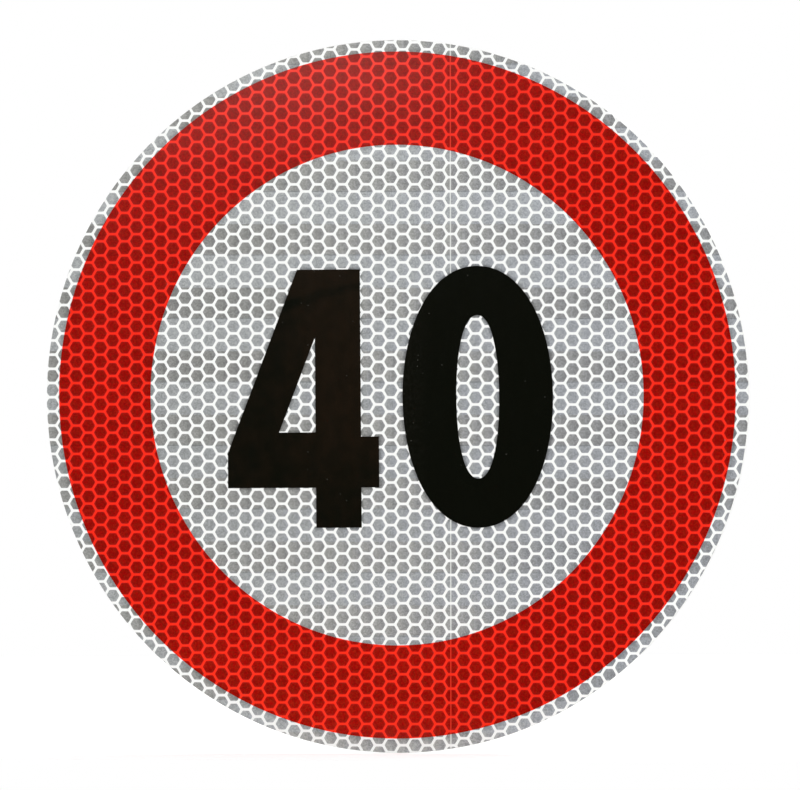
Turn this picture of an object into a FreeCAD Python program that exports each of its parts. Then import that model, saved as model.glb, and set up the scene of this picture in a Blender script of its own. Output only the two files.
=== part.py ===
import FreeCAD, Part

import os

from FreeCAD import Vector

# Speed limit sign: a round disc of prismatic reflective sheeting with a red ring and the number 40.
# It bonds to a flat panel by its back. Sizes are in millimetres.
# Frame: X to the reader's right, Z up, the face looks along -Y, the origin is the centre of the back.

# Sheeting disc
disc_diameter = 200.0  # across the back edge of the cut
sheet_thickness = 0.45  # top film, prisms and adhesive, sealed into one sheet
cut_flare = 0.10  # the die's slope leaves the back edge this far outside the front edge
lip_radius = 0.05  # the die rolls the top film over at the front edge

# Print layer, which the ring and the numerals share
print_thickness = 0.06
print_shift_x = -0.1  # the print sits a little off the centre of the cut
print_shift_z = 0.4
print_turn = 0.4  # degrees, anticlockwise to the reader

# Ring, which covers the sheeting from the white border in to the opening round the number
white_border = 3.6  # bare sheeting between the front edge and the ring
number_clearance = 15.45  # bare sheeting between the number's farthest corner and the ring

# Number, placed from the centre of the print
base_line = -37.07
digit_height = 72.39
four_right = -5.18  # right end of the 4's bar
digit_gap = 6.83  # from the end of the 4's bar to the side of the 0

# Numeral 4
stem_width = 12.9
stub_length = 5.08  # the bar runs this far past the stem
stub_depth = 14.25
bar_height = 11.25  # from the foot of the stem to the underside of the bar
bar_end_depth = 9.8  # upright left end of the bar
counter_floor = 15.5  # from the underside of the bar up to the counter
counter_width = 10.46
counter_height = 26.74
diagonal_width = 11.52

# Numeral 0
zero_width = 42.76
head_overshoot = 0.72  # a round digit stands a little past a flat one
foot_overshoot = 0.24
zero_counter_width = 12.22
zero_counter_height = 45.8
outline_head_pull = 0.61  # how far each arc runs flat before it turns: 0.552 gives an ellipse
outline_side_pull = 0.553
counter_head_pull = 0.66
counter_side_pull = 0.557

centre = Vector(0, 0, 0)
towards_reader = Vector(0, -1, 0)
front_radius = disc_diameter / 2 - cut_flare


def spot(x, z):
    """A point of a flat outline, drawn in the plane of the back."""
    return Vector(x, 0, z)


def sheet(points):
    """A flat face with straight sides."""
    return Part.Face(Part.makePolygon(points + points[:1]))


def at_height(start, slope, z):
    """The point where a slanted line reaches a given height."""
    return start + slope * ((z - start.z) / slope.z)


def oval(middle, width, height, head_pull, side_pull):
    """A flat oval of four mirrored cubic arcs."""
    arcs = []
    for side, end in ((1, 1), (-1, 1), (-1, -1), (1, -1)):
        across = spot(side * width / 2, 0)
        along = spot(0, end * height / 2)
        arc = Part.BezierCurve()
        arc.setPoles([
            middle + across,
            middle + across + along * side_pull,
            middle + across * head_pull + along,
            middle + along,
        ])
        arcs.append(arc.toShape())
    return Part.Face(Part.Wire(arcs))


def numeral_four():
    """The 4: a stem, a bar with a stub, and a diagonal parallel to the long side of the counter."""
    stem_right = four_right - stub_length
    stem_left = stem_right - stem_width
    head = base_line + digit_height
    bar_foot = base_line + bar_height

    floor = bar_foot + counter_floor
    floor_corner = spot(stem_left - counter_width, floor)
    apex = spot(stem_left, floor + counter_height)
    counter = sheet([floor_corner, spot(stem_left, floor), apex])

    slope = (apex - floor_corner).normalize()
    outer_edge = floor_corner + spot(-slope.z, slope.x) * diagonal_width
    bar_end = at_height(outer_edge, slope, bar_foot + bar_end_depth)
    outline = sheet([
        at_height(outer_edge, slope, head),
        spot(stem_right, head),
        spot(stem_right, bar_foot + stub_depth),
        spot(four_right, bar_foot + stub_depth),
        spot(four_right, bar_foot),
        spot(stem_right, bar_foot),
        spot(stem_right, base_line),
        spot(stem_left, base_line),
        spot(stem_left, bar_foot),
        spot(bar_end.x, bar_foot),
        bar_end,
    ])
    return outline.cut(counter)


def numeral_zero():
    """The 0: a tall oval round a narrow one."""
    height = foot_overshoot + digit_height + head_overshoot
    left = four_right + digit_gap
    middle = spot(left + zero_width / 2, base_line - foot_overshoot + height / 2)
    outline = oval(middle, zero_width, height, outline_head_pull, outline_side_pull)
    counter = oval(middle, zero_counter_width, zero_counter_height, counter_head_pull, counter_side_pull)
    return outline.cut(counter)


def reach(faces):
    """Distance from the centre of the print to the farthest point of flat shapes."""
    edges = [edge for face in faces for edge in face.Edges]
    return max(point.Length for edge in edges for point in edge.discretize(25))


def ring(opening_radius):
    """A flat band from the white border in to the opening round the number."""
    radii = (front_radius - white_border, opening_radius)
    outer, inner = [Part.Face(Part.Wire(Part.makeCircle(r, centre, towards_reader))) for r in radii]
    return outer.cut(inner)


def disc():
    """The sheeting: a flat disc with a sloping cut and a rolled front edge."""
    blank = Part.makeCone(disc_diameter / 2, front_radius, sheet_thickness, centre, towards_reader)
    front_edge = min(blank.Edges, key=lambda edge: edge.CenterOfMass.y)
    return blank.makeFillet(lip_radius, [front_edge])


def printed(face):
    """Give a flat shape the print's thickness, and lay it on the front of the sheeting."""
    layer = face.extrude(towards_reader * print_thickness)
    layer.rotate(centre, towards_reader, print_turn)
    layer.translate(Vector(print_shift_x, -sheet_thickness, print_shift_z))
    return layer.Solids[0]


four = numeral_four()
zero = numeral_zero()
nodes = {
    "sheeting_disc": disc(),
    "red_ring": printed(ring(reach([four, zero]) + number_clearance)),
    "numeral_4": printed(four),
    "numeral_0": printed(zero),
}

os.makedirs("parts", exist_ok=True)
for name, solid in nodes.items():
    solid.exportStep("parts/" + name + ".step")
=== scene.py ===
import math
from typing import NamedTuple

import bmesh
import bpy
from mathutils import Matrix, Vector


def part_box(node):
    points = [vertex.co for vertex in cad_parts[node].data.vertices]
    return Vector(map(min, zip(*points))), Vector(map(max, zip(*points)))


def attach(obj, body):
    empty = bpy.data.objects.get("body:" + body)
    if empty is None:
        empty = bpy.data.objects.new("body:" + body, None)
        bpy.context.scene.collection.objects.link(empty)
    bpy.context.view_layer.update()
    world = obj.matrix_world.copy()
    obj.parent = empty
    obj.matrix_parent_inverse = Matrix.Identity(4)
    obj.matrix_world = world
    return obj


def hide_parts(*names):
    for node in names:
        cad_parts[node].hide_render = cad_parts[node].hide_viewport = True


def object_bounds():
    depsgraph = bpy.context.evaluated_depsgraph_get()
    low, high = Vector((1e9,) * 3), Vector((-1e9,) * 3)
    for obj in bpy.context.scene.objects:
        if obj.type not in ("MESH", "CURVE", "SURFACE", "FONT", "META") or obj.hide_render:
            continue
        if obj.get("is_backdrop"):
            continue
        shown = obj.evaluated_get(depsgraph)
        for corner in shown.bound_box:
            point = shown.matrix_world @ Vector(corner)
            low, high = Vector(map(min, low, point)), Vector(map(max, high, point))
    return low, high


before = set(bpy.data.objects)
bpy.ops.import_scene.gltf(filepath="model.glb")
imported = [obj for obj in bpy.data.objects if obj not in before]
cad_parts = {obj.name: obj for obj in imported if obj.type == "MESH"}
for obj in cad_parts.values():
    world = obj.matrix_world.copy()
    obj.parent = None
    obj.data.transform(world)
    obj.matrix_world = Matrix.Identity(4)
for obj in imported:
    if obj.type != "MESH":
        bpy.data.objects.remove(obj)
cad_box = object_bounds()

# Round speed limit sign of prismatic sheeting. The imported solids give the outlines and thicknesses.
# This script gives the sheeting its honeycomb, the print its gloss, and the stage its light.
# Frame: metres, X to the reader's right, Z up, the face looks along -Y, the back lies at Y 0.
# The shader maths works in millimetres in the same frame.

bl_info = {
    "name": "Speed limit sign",
    "version": (1, 0, 0),
    "blender": (4, 5, 0),
    "location": "3D View > Sidebar > Speed sign",
    "description": "Dresses the packed speed limit sign with honeycomb sheeting and glossy print",
    "category": "Object",
}

# Sizes and colours

MM = 0.001
TOWARDS_READER = Vector((0, -1, 0))
LOOKS_THAT_WAY = 0.9  # a face looks along an axis if its normal has at least this share along it
HEX_FLAT = math.sqrt(3) / 2  # across the flats of a hexagon, as a share of across its corners

CELL, SEAL, RIM, BACK = range(4)  # material slots of the dressed pieces
BAKE_MAP = "OFBake"
MAP_REACH = 0.49  # the flat map of front and back reaches this far from its middle
RIM_MAP_TURN, RIM_MAP_FOOT = 0.96, 0.1  # the rim's map: its share of the width, and where the back edge lies

ROUND_STEPS = 256
LIP_STEPS = 4
WELD = 0.001 * MM
TILE_WELD = 0.01 * MM
SINK = 0.0005 * MM  # the cells lie this far under the solid's front, so that the cut goes all over it
SLIVER = 0.0005 * MM  # shorter edges are dissolved
SLAB_DEPTH = 2 * MM
SLAB_OVERSIZE = 1.1  # the tiled sheet against the sign, before it is trimmed
TRIM_CELLS = 1.2  # the sheet is trimmed this many cells outside the sign
BACK_TOLERANCE = 1e-5

# One repeat of the tool's bands, as shares of its height. The warm band comes first, then the cool one, with
# a glow and a dark line near its top. A pair is where an edge starts and where it ends.
WARM_SHARE = 0.475
GLOW_FOOT, GLOW_HEAD = (0.935, 0.955), (0.970, 0.978)
LINE_FOOT, LINE_HEAD = (0.978, 0.984), (0.997, 1.0)
GLOW_STRENGTH = 0.15  # against the line's

WARM_SHEEN, COOL_SHEEN = (1.0, 1.0, 0.975), (0.983, 0.990, 1.02)
DEEP_RED, DULL_RED = (1.05, 0.3, 0.2), (0.95, 1.7, 1.8)
FLANK_RED = (0.97, 0.45, 0.40)  # a red seal's sides, where less of the white below shows
FOOT_LIGHT_RED = (1.0, 1.3, 1.2)  # painted light: the red print paler at the foot than elsewhere
JOIN_COVER = 0.8  # how far the upright join hides the cells
DUSTY_ON_ZERO = (11.0, 3.0)  # dust lies on the left of the 0
COUNTER_POWER, OUTLINE_POWER = 2.17, 2.10  # how square the ovals of the 0 are, where 2 is an ellipse

FLOOR_RADIUS, FLOOR_IN_FRONT = 0.9, 0.10
FLOOR_GLOW = 0.50  # what the camera and gloss see on top of the lit floor, so that it runs on into the white
ROOM_EDGE = (0.72, 0.97)  # how squarely gloss looks back past the camera, where the white ends
RAYS = ("Is Camera Ray", "Is Glossy Ray", "Is Transmission Ray")
MIX_FACTOR, MIX_FIRST, MIX_SECOND, MIX_RESULT = 0, 6, 7, 2  # a Mix node's sockets when it mixes colours


class Area(NamedTuple):
    """A part of the face where the cells are lighter or darker, by a share for the warm and the cool bands.

    Each soft side, across or up, is the place where it starts and the place where it is full.
    """

    across: tuple = ()
    up: tuple = ()
    warm: float = 0.0
    cool: float = 0.0


LOWER_RIGHT = Area(across=((15.0, 45.0),), up=((-20.0, -45.0),), warm=-0.12, cool=-0.07)
BARE_AREAS = (
    Area(up=((-25.0, 70.0),), warm=0.05, cool=0.17),  # upper part
    Area(up=((-20.0, -60.0),), warm=0.05, cool=0.05),  # lower part
    Area(across=((-45.0, -12.0), (45.0, 12.0)), warm=0.085),  # middle
    Area(across=((55.0, 30.0),), up=((-75.0, -90.0),), warm=0.16, cool=0.16),  # foot
    Area(across=((-15.0, -55.0),), up=((-15.0, 10.0), (60.0, 45.0)), warm=-0.11),  # upper left
    Area(across=((-30.0, -60.0),), up=((5.0, -15.0), (-60.0, -35.0)), warm=-0.02, cool=-0.07),  # lower left
    LOWER_RIGHT,
)
# painted light: the red cells and seals are lighter and paler at the ring's foot
RED_LIT_FOOT = Area(across=((50.0, 0.0),), up=((-50.0, -85.0),), warm=0.09, cool=0.16)
RED_AREAS = (
    Area(cool=0.06),  # everywhere
    RED_LIT_FOOT,
    Area(across=((25.0, 50.0),), up=((-35.0, -70.0),), cool=-0.12),  # lower right
    Area(across=((40.0, 80.0),), up=((-30.0, 10.0),), warm=-0.05),  # right
)


class Lamp(NamedTuple):
    """A soft square lamp that looks at the sign."""

    place: tuple
    width: float
    watts: float
    tint: tuple = (1.0, 1.0, 1.0)


LAMPS = {
    "key": Lamp(place=(-1.9, -2.35, 0.6), width=1.5, watts=43.5),
    "fill": Lamp(place=(1.7, -1.7, 0.0), width=1.2, watts=16.5),
    "top": Lamp(place=(-0.273, -0.886, 0.211), width=0.265, watts=0.27, tint=(1.0, 0.96, 0.86)),
    "behind": Lamp(place=(0.8, 1.4, 1.0), width=0.9, watts=22.0),
}


def length(name, description, millimetres):
    return bpy.props.FloatProperty(
        name=name, description=description, default=millimetres * MM, unit="LENGTH", precision=5
    )


def angle(name, description, degrees):
    return bpy.props.FloatProperty(
        name=name, description=description, default=math.radians(degrees), subtype="ANGLE"
    )


def strength(name, description, value, most):
    return bpy.props.FloatProperty(name=name, description=description, default=value, min=0, max=most)


def colour(name, description, value):
    return bpy.props.FloatVectorProperty(
        name=name, description=description, default=value, size=3, subtype="COLOR", min=0, max=1
    )


class SpeedSignSizes(bpy.types.PropertyGroup):
    """Sizes of the honeycomb and of the print's place on it."""

    cell_pitch: length("Cell pitch", "Height of a honeycomb cell with its share of the seal", 3.98)
    cell_right: length("Cell place, right", "Centre of one cell, to the reader's right", 1.65)
    cell_up: length("Cell place, up", "Centre of the same cell, upwards", 55.49)
    seal_width: length("Seal width", "Width of the seal lines between cells", 0.84)
    corner_cut: length("Cell corner", "How far a cell's corners are rounded off", 0.19)
    seal_depth: length("Seal depth", "How far the seal lines lie below the cells", 0.03)
    seal_slope: length("Seal slope", "Width of the slope from a cell down to the seal", 0.05)
    rim_flare: length("Cut flare", "How far the back of the cut stands outside the front", 0.10)
    rim_lip: length("Cut lip", "Where the film rolls over at the front of the cut", 0.05)
    band_height: length("Band height", "Height of the bands that the prism tool left", 8.907)
    band_edge: length("Band edge", "Height of the lower edge of one warm band", 4.25)
    join_right: length("Join place", "The upright join of the prism tool, to the right", 15.22)
    join_width: length("Join width", "Width of the upright join", 0.34)
    print_right: length("Print shift, right", "Centre of the print from the centre of the cut", -0.1)
    print_up: length("Print shift, up", "Centre of the print from the centre of the cut", 0.4)
    print_turn: angle("Print turn", "Turn of the print, anticlockwise", 0.4)


class SpeedSignColours(bpy.types.PropertyGroup):
    """Colours of the sheeting and the print."""

    seal: colour("Seal", "White seal lines of the bare sheeting", (0.918, 0.928, 0.916))
    cool_cell: colour("Cool cell", "Bare cells in the cooler bands", (0.309, 0.322, 0.332))
    warm_cell: colour("Warm cell", "Bare cells in the warmer bands", (0.274, 0.277, 0.273))
    join: colour("Join", "Upright join over the bare cells", (0.80, 0.82, 0.79))
    red_seal: colour("Red seal", "Seal lines under the red print", (0.930, 0.0192, 0.0052))
    red_cell: colour("Red cell", "Cells under the red print", (0.268, 0.0034, 0.0008))
    red_join: colour("Red join", "Upright join under the red print", (0.80, 0.034, 0.016))
    black: colour("Black", "Black print, a little green", (0.0022, 0.0027, 0.0011))
    # brown black: on the 4 it carries a painted reflection, on the 0 a browner left side
    brown_black: colour("Brown black", "Browner black print", (0.0098, 0.0058, 0.0026))
    dust: colour("Dust", "Fine pale specks in the black", (0.060, 0.060, 0.052))
    rim: colour("Cut edge", "Pale edge of the cut sheeting", (0.93, 0.935, 0.915))
    back: colour("Back", "Adhesive side", (0.56, 0.57, 0.55))


class SpeedSignStage(bpy.types.PropertyGroup):
    """Camera and room."""

    lens: bpy.props.FloatProperty(
        name="Lens", description="Focal length of the camera, in millimetres", default=1400, unit="CAMERA"
    )
    camera_turn: angle("Camera turn", "How far the camera stands to the reader's right", 9.981)
    camera_rise: angle("Camera rise", "How far the camera stands above the sign", 0.45)
    camera_roll: angle("Camera roll", "How far the camera leans to its right", 0.055)
    frame_width: length("Frame width", "Width of the view at the sign", 224.2)
    look_right: length("Look right", "Where the camera looks, to the right", 0.815)
    look_up: length("Look up", "Where the camera looks, upwards", 0.42)
    sky: strength("Sky", "Light from all round", 0.53, most=2)
    camera_side: strength("Camera side", "What gloss shows of the room behind the camera", 0.02, most=1)


class SpeedSign(bpy.types.PropertyGroup):
    """Everything that a user may change."""

    sizes: bpy.props.PointerProperty(type=SpeedSignSizes)
    colours: bpy.props.PointerProperty(type=SpeedSignColours)
    stage: bpy.props.PointerProperty(type=SpeedSignStage)


# Shader maths


class Socket:
    """A shader socket on which Python's own operators work."""

    def __init__(self, tree, output):
        self.tree, self.output = tree, output

    def math(self, operation, *values):
        return self.tree.add("ShaderNodeMath", {"operation": operation}, values)

    def __add__(self, other):
        return self.math("ADD", self, other)

    def __radd__(self, other):
        return self.math("ADD", other, self)

    def __sub__(self, other):
        return self.math("SUBTRACT", self, other)

    def __rsub__(self, other):
        return self.math("SUBTRACT", other, self)

    def __mul__(self, other):
        return self.math("MULTIPLY", self, other)

    def __rmul__(self, other):
        return self.math("MULTIPLY", other, self)

    def __truediv__(self, other):
        return self.math("DIVIDE", self, other)

    def __abs__(self):
        return self.math("ABSOLUTE", self)

    def __round__(self):
        return self.math("ROUND", self)

    def __floor__(self):
        return self.math("FLOOR", self)

    def __lt__(self, other):
        return self.math("LESS_THAN", self, other)

    def at_least(self, other):
        return self.math("MAXIMUM", self, other)

    def at_most(self, other):
        return self.math("MINIMUM", self, other)

    def fade(self, start, end):
        """0 up to start, then smoothly to 1 at end, which may also be the lower of the two."""
        values = {"Value": self, "From Min": start, "From Max": end}
        return self.tree.add("ShaderNodeMapRange", {"interpolation_type": "SMOOTHSTEP"}, values)

    def vector(self, operation, other, output=0):
        """Vector Math with another vector, or with a scale."""
        key = "Scale" if operation == "SCALE" else 1
        return self.tree.add("ShaderNodeVectorMath", {"operation": operation}, {0: self, key: other}, output)

    def length(self):
        return self.vector("LENGTH", (0, 0, 0), "Value")

    def parts(self):
        return [self.tree.add("ShaderNodeSeparateXYZ", None, (self,), axis) for axis in "XYZ"]


class Tree:
    """The nodes of one material or world."""

    def __init__(self, owner):
        owner.use_nodes = True
        self.nodes, self.links = owner.node_tree.nodes, owner.node_tree.links
        self.nodes.clear()

    def add(self, kind, settings=None, values=(), output=0):
        """A node of any type: its settings first, then the values or links of its sockets."""
        node = self.nodes.new(kind)
        for name, value in (settings or {}).items():
            setattr(node, name, value)
        pairs = values.items() if isinstance(values, dict) else enumerate(values)
        for key, value in pairs:
            if isinstance(value, Socket):
                self.links.new(value.output, node.inputs[key])
            else:
                node.inputs[key].default_value = value
        return Socket(self, node.outputs[output] if node.outputs else None)

    def mix(self, factor, first, second, blend="MIX"):
        """Mixes two colours."""
        settings = {"data_type": "RGBA", "blend_type": blend}
        values = {MIX_FACTOR: factor, MIX_FIRST: rgba(first), MIX_SECOND: rgba(second)}
        return self.add("ShaderNodeMix", settings, values, MIX_RESULT)

    def times(self, base, by):
        """A colour times a number from the nodes, or times a plain colour."""
        return self.mix(1.0, base, self.join(by, by, by) if isinstance(by, Socket) else by, "MULTIPLY")

    def place(self):
        """Where a point of the piece is, in millimetres."""
        return self.add("ShaderNodeTexCoord", output="Object").vector("SCALE", 1 / MM)

    def join(self, x, y, z):
        return self.add("ShaderNodeCombineXYZ", None, (x, y, z))

    def noise(self, place, per_mm, detail=2.0):
        """Noise from 0 to 1, with its features per millimetre, for all directions or along X, Y and Z."""
        values = {"Vector": scaled(place, per_mm), "Scale": 1.0, "Detail": detail}
        return self.add("ShaderNodeTexNoise", None, values)

    def grains(self, place, per_mm, output, randomness=1.0):
        """Voronoi cells, as each cell's own colour or as the distance to its middle."""
        values = {"Vector": scaled(place, per_mm), "Scale": 1.0, "Randomness": randomness}
        return self.add("ShaderNodeTexVoronoi", None, values, output)

    def rays(self):
        """1 for rays from the camera, from gloss and through clear matter, each by itself."""
        return [self.add("ShaderNodeLightPath", output=name) for name in RAYS]

    def bump(self, height, distance, strength=1.0):
        values = {"Height": height, "Distance": distance, "Strength": strength}
        return self.add("ShaderNodeBump", None, values)

    def surface(self, **sockets):
        """A Principled shader as the surface."""
        named = {name.replace("_", " "): rgba(value) for name, value in sockets.items()}
        shader = self.add("ShaderNodeBsdfPrincipled", None, named)
        self.add("ShaderNodeOutputMaterial", None, (shader,))


def rgba(value):
    """A plain colour with its alpha; anything else as it is."""
    return value if isinstance(value, (Socket, float, int)) else (*value, 1.0)


def scaled(place, per_mm):
    return place.vector("MULTIPLY", (per_mm,) * 3 if isinstance(per_mm, float) else per_mm)


def material(name):
    made = bpy.data.materials.new(name)
    return made, Tree(made)


class Honeycomb:
    """Where a point lies in the honeycomb and its bands, as sockets, in millimetres."""

    def __init__(self, tree, place):
        self.sizes = bpy.context.scene.speed_sign.sizes
        self.tree = tree
        self.place = place
        self.x, _, self.z = place.parts()
        pitch = self.sizes.cell_pitch / MM
        pair = 2 * pitch * HEX_FLAT  # two columns make one repeat to the right
        across = (self.x - self.sizes.cell_right / MM) / pair
        up = (self.z - self.sizes.cell_up / MM) / pitch
        near, near_far = self.middle(across, up, round, pair, pitch)
        other, other_far = self.middle(across, up, lambda v: math.floor(v) + 0.5, pair, pitch)
        nearer = near_far < other_far
        self.column = other[0] + nearer * (near[0] - other[0])
        self.row = other[1] + nearer * (near[1] - other[1])
        self.side = (across - self.column) * pair  # from the cell's centre to the right
        right, above = abs(self.side), abs(up - self.row) * pitch
        self.to_seal = pitch / 2 - above.at_least(right * HEX_FLAT + above * 0.5)  # to the middle of the seal

    def middle(self, across, up, snapped, pair, pitch):
        """A candidate cell's centre, and how far it is."""
        cell = snapped(across), snapped(up)
        away = self.tree.join((across - cell[0]) * pair, (up - cell[1]) * pitch, 0.0)
        return cell, away.length()

    def chance(self, seed):
        """A number from 0 to 1 that is the same all over one cell."""
        spot = self.tree.join(self.column, self.row, seed)
        return self.tree.add("ShaderNodeTexWhiteNoise", None, {"Vector": spot})

    def cool_band(self):
        """1 in the cooler bands and 0 in the warmer, and the line at each cool band's top with its glow."""
        turn = (self.z - self.sizes.band_edge / MM) / (2 * self.sizes.band_height / MM)
        turn = turn - math.floor(turn)
        line = turn.fade(*LINE_FOOT) - turn.fade(*LINE_HEAD)
        glow = turn.fade(*GLOW_FOOT) - turn.fade(*GLOW_HEAD)
        return 1.0 - (turn < WARM_SHARE), line - GLOW_STRENGTH * glow

    def upright_join(self):
        half = self.sizes.join_width / MM / 2
        return abs(self.x - self.sizes.join_right / MM).fade(half * 1.3, half * 0.7)

    def share_of(self, area):
        """How far a point lies in an area, from 0 to 1."""
        sides = [self.x.fade(*side) for side in area.across] + [self.z.fade(*side) for side in area.up]
        return math.prod(sides)

    def level(self, areas, cool):
        """Brightness of the cells over the face."""
        return 1.0 + sum(
            self.share_of(area) * (area.warm + (area.cool - area.warm) * cool) for area in areas
        )

    def tone(self):
        """Brightness of a cell: its own scatter, streaks, soft patches and the glitter of the prisms."""
        streak = self.tree.noise(self.place, (3.2, 1.0, 0.35))
        patch = self.tree.noise(self.place, (0.9, 0.9, 0.7))
        facet = self.tree.grains(self.place, 2.9, "Color", randomness=0.8).parts()[0]
        lit_edge = self.to_seal.fade(0.89, 0.39)  # the white seal lights the cell's edge
        scatter = 0.06 * (self.chance(1.0) - 0.5) + 0.12 * (streak - 0.5) + 0.10 * (patch - 0.5)
        return 1.0 + scatter + 0.44 * (facet - 0.5) + 0.10 * lit_edge


# Distances to the print


def outlines(node):
    """A print's closed outlines, each a list of edges, in millimetres, with the print's turn undone."""
    turn = Matrix.Rotation(bpy.context.scene.speed_sign.sizes.print_turn, 3, TOWARDS_READER)
    flattened = Matrix.Diagonal((1 / MM, 0, 1 / MM)) @ turn.inverted()
    bm = bmesh.new()
    bm.from_mesh(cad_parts[node].data)
    bmesh.ops.remove_doubles(bm, verts=bm.verts, dist=WELD)
    elsewhere = [face for face in bm.faces if face.normal.dot(TOWARDS_READER) < LOOKS_THAT_WAY]
    bmesh.ops.delete(bm, geom=elsewhere, context="FACES")
    bmesh.ops.transform(bm, verts=bm.verts, matrix=flattened.to_4x4())
    loops, left = [], {edge for edge in bm.edges if edge.is_boundary}
    while left:
        found, reached = [], set(next(iter(left)).verts)
        while grown := {edge for edge in left if reached & set(edge.verts)}:
            left -= grown
            found += [[vert.co.copy() for vert in edge.verts] for edge in grown]
            reached |= {vert for edge in grown for vert in edge.verts}
        loops.append(found)
    bm.free()
    return loops


def gap_to_line(tree, flat, start, end):
    """Distance from a point to a straight edge."""
    run = end - start
    away = flat.vector("SUBTRACT", start)
    share = away.vector("DOT_PRODUCT", run / run.length_squared, "Value").at_least(0.0).at_most(1.0)
    along = tree.join(*run).vector("SCALE", share)
    return away.vector("SUBTRACT", along).length()


def gap_to_oval(tree, flat, loop, power):
    """Distance from a point to an oval, true near its edge."""
    points = [point for edge in loop for point in edge]
    low, high = (Vector((f(p.x for p in points), 0, f(p.z for p in points))) for f in (min, max))
    half = (high - low) / 2
    across, _, along = flat.vector("SUBTRACT", (low + high) / 2).parts()
    across, along = abs(across) / half.x, abs(along) / half.z
    steep_across, steep_along = across.math("POWER", across, power - 1), along.math("POWER", along, power - 1)
    total = across * steep_across + along * steep_along
    slope = tree.join(steep_across / half.x, 0.0, steep_along / half.z).length()
    past_edge = total.math("POWER", total, 1 / power) - 1.0
    return abs(past_edge) / (slope * total.math("POWER", total, 1 / power - 1))


def gap_to_number(tree, place):
    """Distance from a point to the nearest edge of the numerals."""
    turn = bpy.context.scene.speed_sign.sizes.print_turn
    x, _, z = place.parts()
    flat = tree.join(x * math.cos(turn) + z * math.sin(turn), 0.0, z * math.cos(turn) - x * math.sin(turn))
    nearest, *gaps = [gap_to_line(tree, flat, *edge) for loop in outlines("numeral_4") for edge in loop]
    ovals = sorted(outlines("numeral_0"), key=lambda loop: max(point.z for edge in loop for point in edge))
    powers = COUNTER_POWER, OUTLINE_POWER
    gaps += [gap_to_oval(tree, flat, loop, power) for loop, power in zip(ovals, powers)]
    for gap in gaps:
        nearest = nearest.at_most(gap)
    return nearest


def gaps_to_ring(tree, x, z):
    """Distances from a point to the inner and the outer edge of the ring."""
    centre = print_centre() / MM
    radius = tree.join(x - centre.x, 0.0, z - centre.z).length()
    return [abs(radius - edge / MM) for edge in (ring_opening(), ring_reach())]


# Finishes


def seal_in(tree, place, base, **sockets):
    """A colour under a clear film, which is a little smeared and gently wavy."""
    wave = tree.noise(place, 0.09, 3.0)
    smear = tree.noise(place, (0.5, 0.5, 0.12), 3.0)
    tree.surface(
        Base_Color=base, Roughness=0.10 + 0.04 * smear, Normal=tree.bump(wave, 0.04 * MM, 0.4), **sockets
    )


def bare_cell_finish(name):
    """Silver-grey prism cells under a clear film, with painted shade beside the print and on the right of
    each warm cell.
    """
    colours = bpy.context.scene.speed_sign.colours
    made, tree = material(name)
    place = tree.place()
    comb = Honeycomb(tree, place)
    cool, line = comb.cool_band()
    painted_shade_right = 0.036 * comb.side + 0.085 * comb.side.fade(-0.05, 0.75)  # painted shade: a warm cell darkens to the right
    tone = comb.tone() - (1.0 - cool) * painted_shade_right + 0.02 + 0.01 * cool
    tone = tone * comb.level(BARE_AREAS, cool)
    tone = tone * (1.0 - (0.22 + 0.12 * comb.z.fade(-35.0, -10.0)) * line)
    inner, outer = gaps_to_ring(tree, comb.x, comb.z)
    # painted shade: the cells darken next to the numerals and next to both edges of the ring
    painted_shade_by_number = 1.0 - 0.42 * gap_to_number(tree, place).fade(1.0, 0.1)
    painted_shade_by_ring = 1.0 - 0.14 * inner.fade(1.6, 0.2) - 0.22 * outer.fade(1.5, 0.3)
    hue = cool.at_least(0.75 * comb.share_of(LOWER_RIGHT))
    base = tree.times(tree.mix(hue, colours.warm_cell, colours.cool_cell), tone * painted_shade_by_number * painted_shade_by_ring)
    sheen = (comb.side * 0.3 + comb.x * 0.008 + tree.noise(place, 0.45)).fade(0.1, 1.0)
    base = tree.mix(sheen, tree.times(base, WARM_SHEEN), tree.times(base, COOL_SHEEN))
    base = tree.mix(comb.upright_join() * JOIN_COVER, base, colours.join)
    seal_in(tree, place, base)
    return made


def bare_seal_finish(name):
    """White seal lines under a clear film."""
    colours = bpy.context.scene.speed_sign.colours
    made, tree = material(name)
    place = tree.place()
    cloud = tree.noise(place, 1.4, 3.0)
    seal_in(tree, place, tree.times(colours.seal, 1.0 - 0.03 * cloud.fade(0.45, 0.8)))
    return made


def red_cell_finish(name):
    """Prism cells under the clear red print, with painted shade on each cell's right and painted light at the
    foot.
    """
    colours = bpy.context.scene.speed_sign.colours
    made, tree = material(name)
    place = tree.place()
    comb = Honeycomb(tree, place)
    cool, line = comb.cool_band()
    # painted shade: each red cell darkens a little to the right
    tone = (comb.tone() - 0.014 * comb.side) * comb.level(RED_AREAS, cool) * (1.0 - 0.16 * line)
    base = tree.times(colours.red_cell, tone)
    # painted light: the red cells paler at the foot
    base = tree.mix(comb.share_of(RED_LIT_FOOT), base, tree.times(base, FOOT_LIGHT_RED))
    cloud = tree.noise(place, (1.6, 1.6, 1.1))
    base = tree.mix(cloud.fade(0.35, 0.65), tree.times(base, DEEP_RED), tree.times(base, DULL_RED))
    base = tree.mix(comb.upright_join() * JOIN_COVER, base, colours.red_join)
    seal_in(tree, place, base)
    return made


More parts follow.
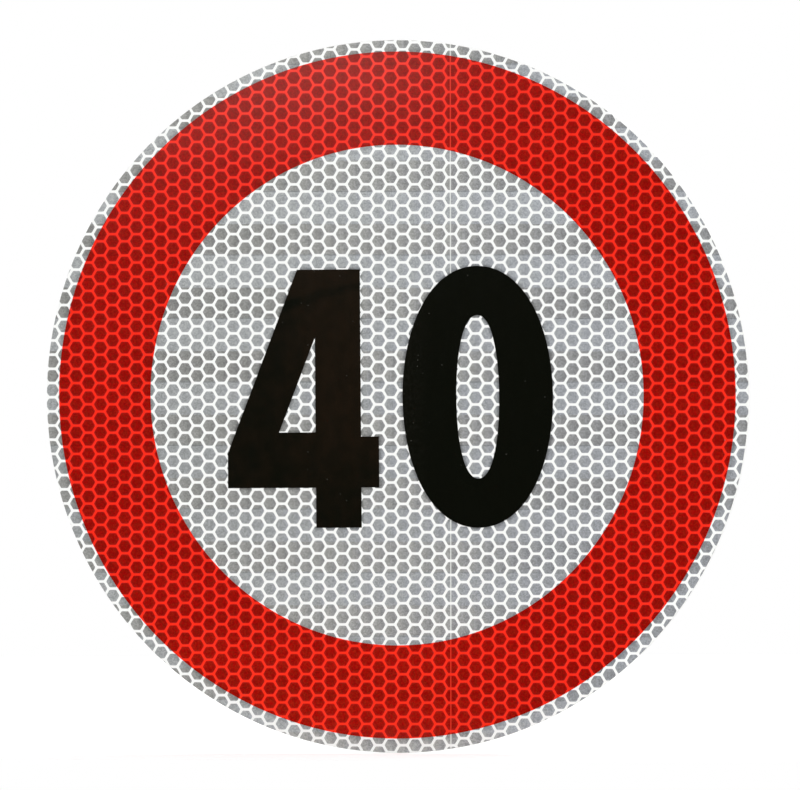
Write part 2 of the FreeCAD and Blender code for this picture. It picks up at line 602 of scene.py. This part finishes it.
def red_seal_finish(name):
    """Bright seal lines under the clear red print, deeper at their sides, with painted shade at the top of
    the ring and painted light at its foot.
    """
    colours = bpy.context.scene.speed_sign.colours
    made, tree = material(name)
    place = tree.place()
    comb = Honeycomb(tree, place)
    foot = comb.share_of(RED_LIT_FOOT)
    cloud = tree.noise(place, 1.4, 3.0)
    # painted shade darkens the top of the ring and painted light lifts its foot; the cloud is the print's own
    # unevenness
    level = 1.0 - 0.05 * cloud.fade(0.4, 0.8) - 0.02 * comb.z.fade(40.0, 80.0) + 0.05 * foot
    base = tree.times(colours.red_seal, level)
    # painted light: the red seal paler at the foot
    base = tree.mix(foot, base, tree.times(base, FOOT_LIGHT_RED))
    base = tree.mix(comb.to_seal.fade(0.15, 0.41), base, tree.times(base, FLANK_RED))
    seal_in(tree, place, base, Specular_IOR_Level=0.75)
    return made


def painted_reflection_on_four(x, z):
    """A painted reflection on the 4: most on the stem and the head, least on the diagonal and the foot, less
    in a streak under the head.
    """
    slope, height = 0.255, 33.9  # of the streak's line, whose height is taken at the middle of the sign
    half_width, narrowing = 0.9, 0.04
    stem = x.fade(-36.0, -20.0) * z.fade(-30.0, -5.0)
    over_line = z - slope * x - height
    streak = (abs(over_line) / (half_width - narrowing * x)).fade(1.3, 0.2)
    return 0.30 + 0.55 * stem.at_least(over_line.fade(0.3, 1.4)) - 0.40 * streak


def browner_on_zero(x, z):
    """A little browner on the left side."""
    return 0.08 * x.fade(12.0, 2.0)


def black_finish(name, browner_where, mottle, dusty_side=None):
    """Opaque glossy black, mottled and browner in places, with a painted reflection on the 4, a little dust,
    and the honeycomb barely showing through.
    """
    colours = bpy.context.scene.speed_sign.colours
    made, tree = material(name)
    place = tree.place()
    comb = Honeycomb(tree, place)
    cloud = tree.noise(place, (0.28, 0.28, 0.22), 5.0)
    # brownness: a painted reflection on the 4 and a browner left side on the 0, each with the mottle
    brownness = (browner_where(comb.x, comb.z) + mottle * (cloud - 0.5)).at_least(0.0).at_most(1.0)
    base = tree.mix(brownness, colours.black, colours.brown_black)
    base = tree.times(base, 0.97 + 0.06 * comb.to_seal.fade(0.6, 0.3))
    dusty = comb.x.fade(*dusty_side) if dusty_side else 0.0
    speck = tree.grains(place, 0.55, "Distance").fade(0.11, 0.05)
    chance = tree.grains(place, 0.55, "Color").parts()[0]
    base = tree.mix(speck * (chance < 0.12 + 0.5 * dusty) * 0.8, base, colours.dust)
    film = tree.noise(place, (1.7, 1.7, 1.0), 4.0)
    base = tree.mix(dusty * film.fade(0.4, 0.75) * 0.07, base, colours.dust)
    seal_in(tree, place, base)
    return made


def rim_finish(name):
    """Pale cut edge, with the layers showing as fine lines."""
    colours = bpy.context.scene.speed_sign.colours
    made, tree = material(name)
    place = tree.place()
    layer = tree.noise(place, (0.3, 30.0, 0.3), 1.0)
    nick = tree.noise(place, (1.6, 4.0, 1.6), 3.0)
    base = tree.times(colours.rim, 0.93 + 0.10 * layer)
    tree.surface(Base_Color=base, Roughness=0.45 + 0.15 * nick, Normal=tree.bump(nick, 0.02 * MM))
    return made


def red_edge_finish(name):
    """Cut side of the red print."""
    colours = bpy.context.scene.speed_sign.colours
    made, tree = material(name)
    cloud = tree.noise(tree.place(), 0.8)
    base = tree.mix(cloud.fade(0.3, 0.7) * 0.4, colours.red_cell, colours.red_seal)
    tree.surface(Base_Color=base, Roughness=0.3)
    return made


def back_finish(name):
    """Adhesive side: the honeycomb shows faintly through a mottled coat."""
    colours = bpy.context.scene.speed_sign.colours
    made, tree = material(name)
    place = tree.place()
    comb = Honeycomb(tree, place)
    seal = comb.to_seal.fade(0.54, 0.29)
    mottle = tree.noise(place, 0.35, 4.0)
    grain = tree.noise(place, 4.0)
    tone = 0.90 + 0.08 * seal + 0.10 * (mottle - 0.5) + 0.05 * (grain - 0.5) + 0.03 * comb.chance(3.0)
    relief = tree.bump(grain * 0.4 + seal * 0.6, 0.02 * MM, 0.6)
    tree.surface(Base_Color=tree.times(colours.back, tone), Roughness=0.42 + 0.2 * mottle, Normal=relief)
    return made


# Meshes


def shift(bm, geom, step):
    """Moves the vertices among some geometry."""
    verts = [part for part in geom if isinstance(part, bmesh.types.BMVert)]
    bmesh.ops.translate(bm, verts=verts, vec=step)


def repeat(bm, step):
    """Doubles everything in the mesh, one step away."""
    everything = list(bm.verts) + list(bm.edges) + list(bm.faces)
    shift(bm, bmesh.ops.duplicate(bm, geom=everything)["geom"], step)


def honeycomb_tile(sizes):
    """One cell with its share of the seal, flat on the seal's level, facing +Z."""
    bm = bmesh.new()
    bmesh.ops.create_circle(bm, cap_ends=True, segments=6, radius=sizes.cell_pitch / 2 / HEX_FLAT)
    bmesh.ops.rotate(bm, verts=bm.verts, matrix=Matrix.Rotation(math.radians(30), 3, "Z"))
    outer = set(bm.verts)
    cell = next(iter(bm.faces))
    bmesh.ops.inset_individual(bm, faces=[cell], thickness=sizes.seal_width / 2 - sizes.seal_slope)
    bmesh.ops.bevel(
        bm, geom=list(cell.verts), offset=sizes.corner_cut, offset_type="OFFSET", affect="VERTICES",
        segments=1, profile=0.5, material=-1,
    )
    spokes = {e.other_vert(v): v for v in outer for e in v.link_edges if e.other_vert(v) not in outer}
    bmesh.ops.weld_verts(bm, targetmap=spokes)
    cell = max(bm.faces, key=lambda face: face.calc_area())
    for face in bm.faces:
        face.material_index = SEAL
    bmesh.ops.inset_individual(bm, faces=[cell], thickness=sizes.seal_slope, depth=sizes.seal_depth)
    cell.material_index = CELL
    return bm


def honeycomb_slab(sizes, reach, front):
    """A closed slab with the honeycomb on its front, wider than the sign.

    Its far side repeats the honeycomb, because one large face there upsets the quick Boolean solver.
    """
    bm = honeycomb_tile(sizes)
    pair, pitch = 2 * sizes.cell_pitch * HEX_FLAT, sizes.cell_pitch
    width = 2 * reach * SLAB_OVERSIZE
    column_doublings, row_doublings = (math.ceil(math.log2(width / step)) for step in (pair, pitch))
    repeat(bm, (pair / 2, pitch / 2, 0))
    for doubling in range(column_doublings):
        repeat(bm, (pair * 2**doubling, 0, 0))
    for doubling in range(row_doublings):
        repeat(bm, (0, pitch * 2**doubling, 0))
    right = sizes.cell_right - pair * (2**column_doublings // 2 + round(sizes.cell_right / pair))
    up = sizes.cell_up - pitch * (2**row_doublings // 2 + round(sizes.cell_up / pitch))
    shift(bm, bm.verts, (right, up, 0))
    beyond = [face for face in bm.faces if face.calc_center_median().length > reach + TRIM_CELLS * pitch]
    bmesh.ops.delete(bm, geom=beyond, context="FACES")
    bmesh.ops.remove_doubles(bm, verts=bm.verts, dist=TILE_WELD)
    bmesh.ops.rotate(bm, verts=bm.verts, matrix=Matrix.Rotation(math.radians(90), 3, "X"))
    shift(bm, bm.verts, (0, front + sizes.seal_depth, 0))
    far_side = bmesh.ops.extrude_face_region(bm, geom=list(bm.faces), use_keep_orig=True)["geom"]
    shift(bm, far_side, (0, SLAB_DEPTH, 0))
    bmesh.ops.recalc_face_normals(bm, faces=bm.faces)
    return bm


def spun(profile, lip=None):
    """A closed body of revolution about the sign's axis, from (radius, y) points.

    A profile that starts off the axis is closed to a loop. The lip is a corner's number and its rounding.
    """
    bm = bmesh.new()
    points = [bm.verts.new((radius, y, 0)) for radius, y in profile]
    closed = profile[0][0] > 0
    for first, second in zip(points, points[1:] + points[:1] if closed else points[1:]):
        bm.edges.new((first, second))
    if lip:
        corner, size = lip
        bmesh.ops.bevel(
            bm, geom=[points[corner]], offset=size, offset_type="OFFSET", affect="VERTICES",
            segments=LIP_STEPS, profile=0.5, material=-1,
        )
    bmesh.ops.spin(
        bm, geom=list(bm.verts) + list(bm.edges), cent=(0, 0, 0), axis=TOWARDS_READER, dvec=(0, 0, 0),
        angle=math.tau, steps=ROUND_STEPS, use_merge=True,
    )
    bmesh.ops.remove_doubles(bm, verts=bm.verts, dist=WELD)
    bmesh.ops.recalc_face_normals(bm, faces=bm.faces)
    for face in bm.faces:
        face.material_index = RIM
    return bm


def helper(name, bm):
    """An object from a finished bmesh."""
    mesh = bpy.data.meshes.new(name)
    bm.to_mesh(mesh)
    bm.free()
    made = bpy.data.objects.new(name, mesh)
    bpy.context.scene.collection.objects.link(made)
    return made


def back_area(mesh):
    """Area of the faces that look away from the reader."""
    return sum(face.area for face in mesh.polygons if face.normal.dot(TOWARDS_READER) < -LOOKS_THAT_WAY)


def cut_from_slab(name, blank, slab, finishes):
    """What the blank and the honeycomb slab share, as a new piece with those materials.

    The cut leaves the back alone, so the exact solver steps in where the quick one nicks it.
    """
    body, comb = helper("blank", blank), helper("slab", slab)
    for finish in finishes:
        body.data.materials.append(finish)
        comb.data.materials.append(finish)
    both = body.modifiers.new("honeycomb", "BOOLEAN")
    both.operation, both.object = "INTERSECT", comb
    for solver in ("MANIFOLD", "EXACT"):
        both.solver = solver
        mesh = bpy.data.meshes.new_from_object(body.evaluated_get(bpy.context.evaluated_depsgraph_get()))
        if abs(back_area(mesh) / back_area(body.data) - 1.0) < BACK_TOLERANCE:
            break
        bpy.data.meshes.remove(mesh)
    else:
        raise RuntimeError(f"{name}: the cut nicked the back")
    mesh.name = name
    for solid in (body, comb):
        data = solid.data
        bpy.data.objects.remove(solid)
        bpy.data.meshes.remove(data)
    piece = bpy.data.objects.new(name, mesh)
    bpy.context.scene.collection.objects.link(piece)
    if [slot.material for slot in piece.material_slots] != list(finishes):
        raise RuntimeError(f"{name}: the cut changed the materials")
    return piece


def lay_out(piece, reach):
    """Face materials by side, and a flat map of the front, the back and the rim."""
    bm = bmesh.new()
    bm.from_mesh(piece.data)
    bmesh.ops.dissolve_degenerate(bm, edges=bm.edges, dist=SLIVER)
    if not all(edge.is_manifold for edge in bm.edges):
        raise RuntimeError(f"{piece.name}: the cut left it open")
    uv = bm.loops.layers.uv.new(BAKE_MAP)
    for face in bm.faces:
        if face.material_index not in (CELL, SEAL):
            facing = face.normal.dot(TOWARDS_READER)
            face.material_index = BACK if facing < -LOOKS_THAT_WAY else RIM
        for loop in face.loops:
            x, y, z = loop.vert.co
            if face.material_index == RIM:
                turn = turn_near(x, z, face.calc_center_median())
                loop[uv].uv = 0.5 + RIM_MAP_TURN * turn, RIM_MAP_FOOT - y / MM
            else:
                loop[uv].uv = 0.5 + MAP_REACH * x / reach, 0.5 + MAP_REACH * z / reach
    bm.to_mesh(piece.data)
    bm.free()


def turn_near(x, z, middle):
    """Where a point lies round the sign, in turns, on the same side of the half turn as its face's middle."""
    turn = math.atan2(z, x) / math.tau
    if abs(turn - math.atan2(middle.z, middle.x) / math.tau) > 0.5:
        turn += math.copysign(1, -turn)
    return turn


def print_centre():
    sizes = bpy.context.scene.speed_sign.sizes
    return Vector((sizes.print_right, 0, sizes.print_up))


def ring_opening():
    """Radius of the opening in the ring, read from the solid."""
    centre = print_centre()
    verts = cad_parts["red_ring"].data.vertices
    return min((Vector((vert.co.x, 0, vert.co.z)) - centre).length for vert in verts)


def ring_reach():
    """Radius of the ring's outer edge, read from the solid's box."""
    low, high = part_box("red_ring")
    centre = print_centre()
    return min(high.x - centre.x, high.z - centre.z, centre.x - low.x, centre.z - low.z)


# Operators


class SPEEDSIGN_OT_sheeting(bpy.types.Operator):
    """The disc of sheeting: honeycomb front, cut rim and adhesive back, in place of the plain disc"""

    bl_idname = "speedsign.sheeting"
    bl_label = "Sheeting"

    def execute(self, context):
        sizes = context.scene.speed_sign.sizes
        low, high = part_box("sheeting_disc")
        radius = min(-low.x, high.x, -low.z, high.z)
        profile = [(0, 0), (radius, 0), (radius - sizes.rim_flare, low.y), (0, low.y)]
        blank = spun(profile, lip=(2, sizes.rim_lip))
        slab = honeycomb_slab(sizes, radius, low.y + SINK)
        finishes = (
            bare_cell_finish("bare_cells"),
            bare_seal_finish("bare_seal"),
            rim_finish("cut_edge"),
            back_finish("adhesive_back"),
        )
        piece = cut_from_slab("sheeting", blank, slab, finishes)
        lay_out(piece, radius)
        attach(piece, "root")
        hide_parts("sheeting_disc")
        return {"FINISHED"}


class SPEEDSIGN_OT_ring(bpy.types.Operator):
    """The clear red print, with the honeycomb showing through, in place of the plain ring"""

    bl_idname = "speedsign.ring"
    bl_label = "Ring"

    def execute(self, context):
        sizes = context.scene.speed_sign.sizes
        low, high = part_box("red_ring")
        inner, outer = ring_opening(), ring_reach()
        blank = spun([(inner, high.y), (outer, high.y), (outer, low.y), (inner, low.y)])
        shift(blank, blank.verts, print_centre())
        slab = honeycomb_slab(sizes, outer, low.y + SINK)
        finishes = (
            red_cell_finish("red_cells"),
            red_seal_finish("red_seal"),
            red_edge_finish("red_edge"),
            red_edge_finish("red_underside"),
        )
        piece = cut_from_slab("ring", blank, slab, finishes)
        lay_out(piece, outer)
        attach(piece, "root")
        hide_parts("red_ring")
        return {"FINISHED"}


class SPEEDSIGN_OT_numerals(bpy.types.Operator):
    """The black print of the number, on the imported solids"""

    bl_idname = "speedsign.numerals"
    bl_label = "Numerals"

    def execute(self, context):
        finishes = {
            "numeral_4": black_finish("black_four", painted_reflection_on_four, mottle=1.3),
            "numeral_0": black_finish("black_zero", browner_on_zero, mottle=0.15, dusty_side=DUSTY_ON_ZERO),
        }
        for node, finish in finishes.items():
            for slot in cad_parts[node].material_slots:
                slot.material = finish
        return {"FINISHED"}


class SPEEDSIGN_OT_stage(bpy.types.Operator):
    """Floor, background, lamps and camera"""

    bl_idname = "speedsign.stage"
    bl_label = "Stage"

    def execute(self, context):
        stage = context.scene.speed_sign.stage
        context.scene.view_settings.view_transform = "Standard"
        self.set_world(context.scene, stage)
        self.lay_floor()
        for name, lamp in LAMPS.items():
            self.hang(name, lamp)
        self.set_camera(context.scene, stage)
        return {"FINISHED"}

    def set_world(self, scene, stage):
        """Even light for the object, white for the camera, and for gloss except back past the camera."""
        scene.world = bpy.data.worlds.new("studio")
        tree = Tree(scene.world)
        direction = tree.add("ShaderNodeTexCoord", output="Generated")
        facing = direction.vector("DOT_PRODUCT", TOWARDS_READER, "Value")
        camera_ray, glossy_ray, passing_ray = tree.rays()
        gloss = glossy_ray.at_least(passing_ray)
        room = 1.0 - facing.fade(*ROOM_EDGE) * (1.0 - stage.camera_side)
        other = 1.0 - camera_ray.at_least(gloss)
        values = {"Color": (1, 1, 1, 1), "Strength": camera_ray + gloss * room + other * stage.sky}
        tree.add("ShaderNodeOutputWorld", None, (tree.add("ShaderNodeBackground", None, values),))

    def lay_floor(self):
        """A pale table at the sign's foot. It keeps the shadow, and runs on into the white."""
        bm = bmesh.new()
        bmesh.ops.create_circle(bm, cap_ends=True, segments=96, radius=FLOOR_RADIUS)
        floor = helper("floor", bm)
        floor.data.transform(Matrix.Translation((0, FLOOR_RADIUS - FLOOR_IN_FRONT, cad_box[0].z)))
        made, tree = material("pale_table")
        camera_ray, glossy_ray, passing_ray = tree.rays()
        seen = camera_ray.at_least(glossy_ray).at_least(passing_ray)
        base = tree.mix(tree.noise(tree.place(), 0.004), (0.79, 0.79, 0.79), (0.81, 0.81, 0.81))
        lit = tree.add("ShaderNodeBsdfDiffuse", None, {"Color": base})
        glow = tree.add("ShaderNodeEmission", None, {"Color": (1, 1, 1, 1), "Strength": seen * FLOOR_GLOW})
        tree.add("ShaderNodeOutputMaterial", None, (tree.add("ShaderNodeAddShader", None, (lit, glow)),))
        floor.data.materials.append(made)
        floor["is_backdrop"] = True

    def hang(self, name, lamp):
        data = bpy.data.lights.new(name, "AREA")
        data.size, data.energy, data.color = lamp.width, lamp.watts, lamp.tint
        made = bpy.data.objects.new(name, data)
        bpy.context.scene.collection.objects.link(made)
        made.location = lamp.place
        made.rotation_euler = (-Vector(lamp.place)).to_track_quat("-Z", "Y").to_euler()
        made.visible_camera = False

    def set_camera(self, scene, stage):
        camera = bpy.data.objects.new("camera", bpy.data.cameras.new("camera"))
        scene.collection.objects.link(camera)
        camera.data.lens = stage.lens
        away = stage.frame_width * stage.lens / camera.data.sensor_width
        aside = Matrix.Rotation(stage.camera_turn, 3, "Z") @ Matrix.Rotation(-stage.camera_rise, 3, "X")
        camera.location = Vector((stage.look_right, 0, stage.look_up)) + aside @ TOWARDS_READER * away
        camera.rotation_euler = math.radians(90) - stage.camera_rise, stage.camera_roll, stage.camera_turn
        scene.camera = camera


OPERATORS = (SPEEDSIGN_OT_sheeting, SPEEDSIGN_OT_ring, SPEEDSIGN_OT_numerals, SPEEDSIGN_OT_stage)


class SPEEDSIGN_PT_panel(bpy.types.Panel):
    """Lists the sizes, the colours and the steps."""

    bl_idname = "SPEEDSIGN_PT_panel"
    bl_label = "Speed sign"
    bl_space_type = "VIEW_3D"
    bl_region_type = "UI"
    bl_category = "Speed sign"

    def draw(self, context):
        sign = context.scene.speed_sign
        for group in (sign.sizes, sign.colours, sign.stage):
            box = self.layout.box()
            for name in group.__annotations__:
                box.prop(group, name)
        for operator in OPERATORS:
            self.layout.operator(operator.bl_idname)


CLASSES = (SpeedSignSizes, SpeedSignColours, SpeedSignStage, SpeedSign, *OPERATORS, SPEEDSIGN_PT_panel)


def register():
    for made in CLASSES:
        bpy.utils.register_class(made)
    bpy.types.Scene.speed_sign = bpy.props.PointerProperty(type=SpeedSign)


def unregister():
    del bpy.types.Scene.speed_sign
    for made in reversed(CLASSES):
        bpy.utils.unregister_class(made)


def main():
    register()
    for operator in OPERATORS:
        group, step = operator.bl_idname.split(".")
        getattr(getattr(bpy.ops, group), step)()
    boxes = {"cad": cad_box, "visual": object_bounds()}
    {name: [list(corner) for corner in box] for name, box in boxes.items()}


if __name__ == "__main__":
    main()
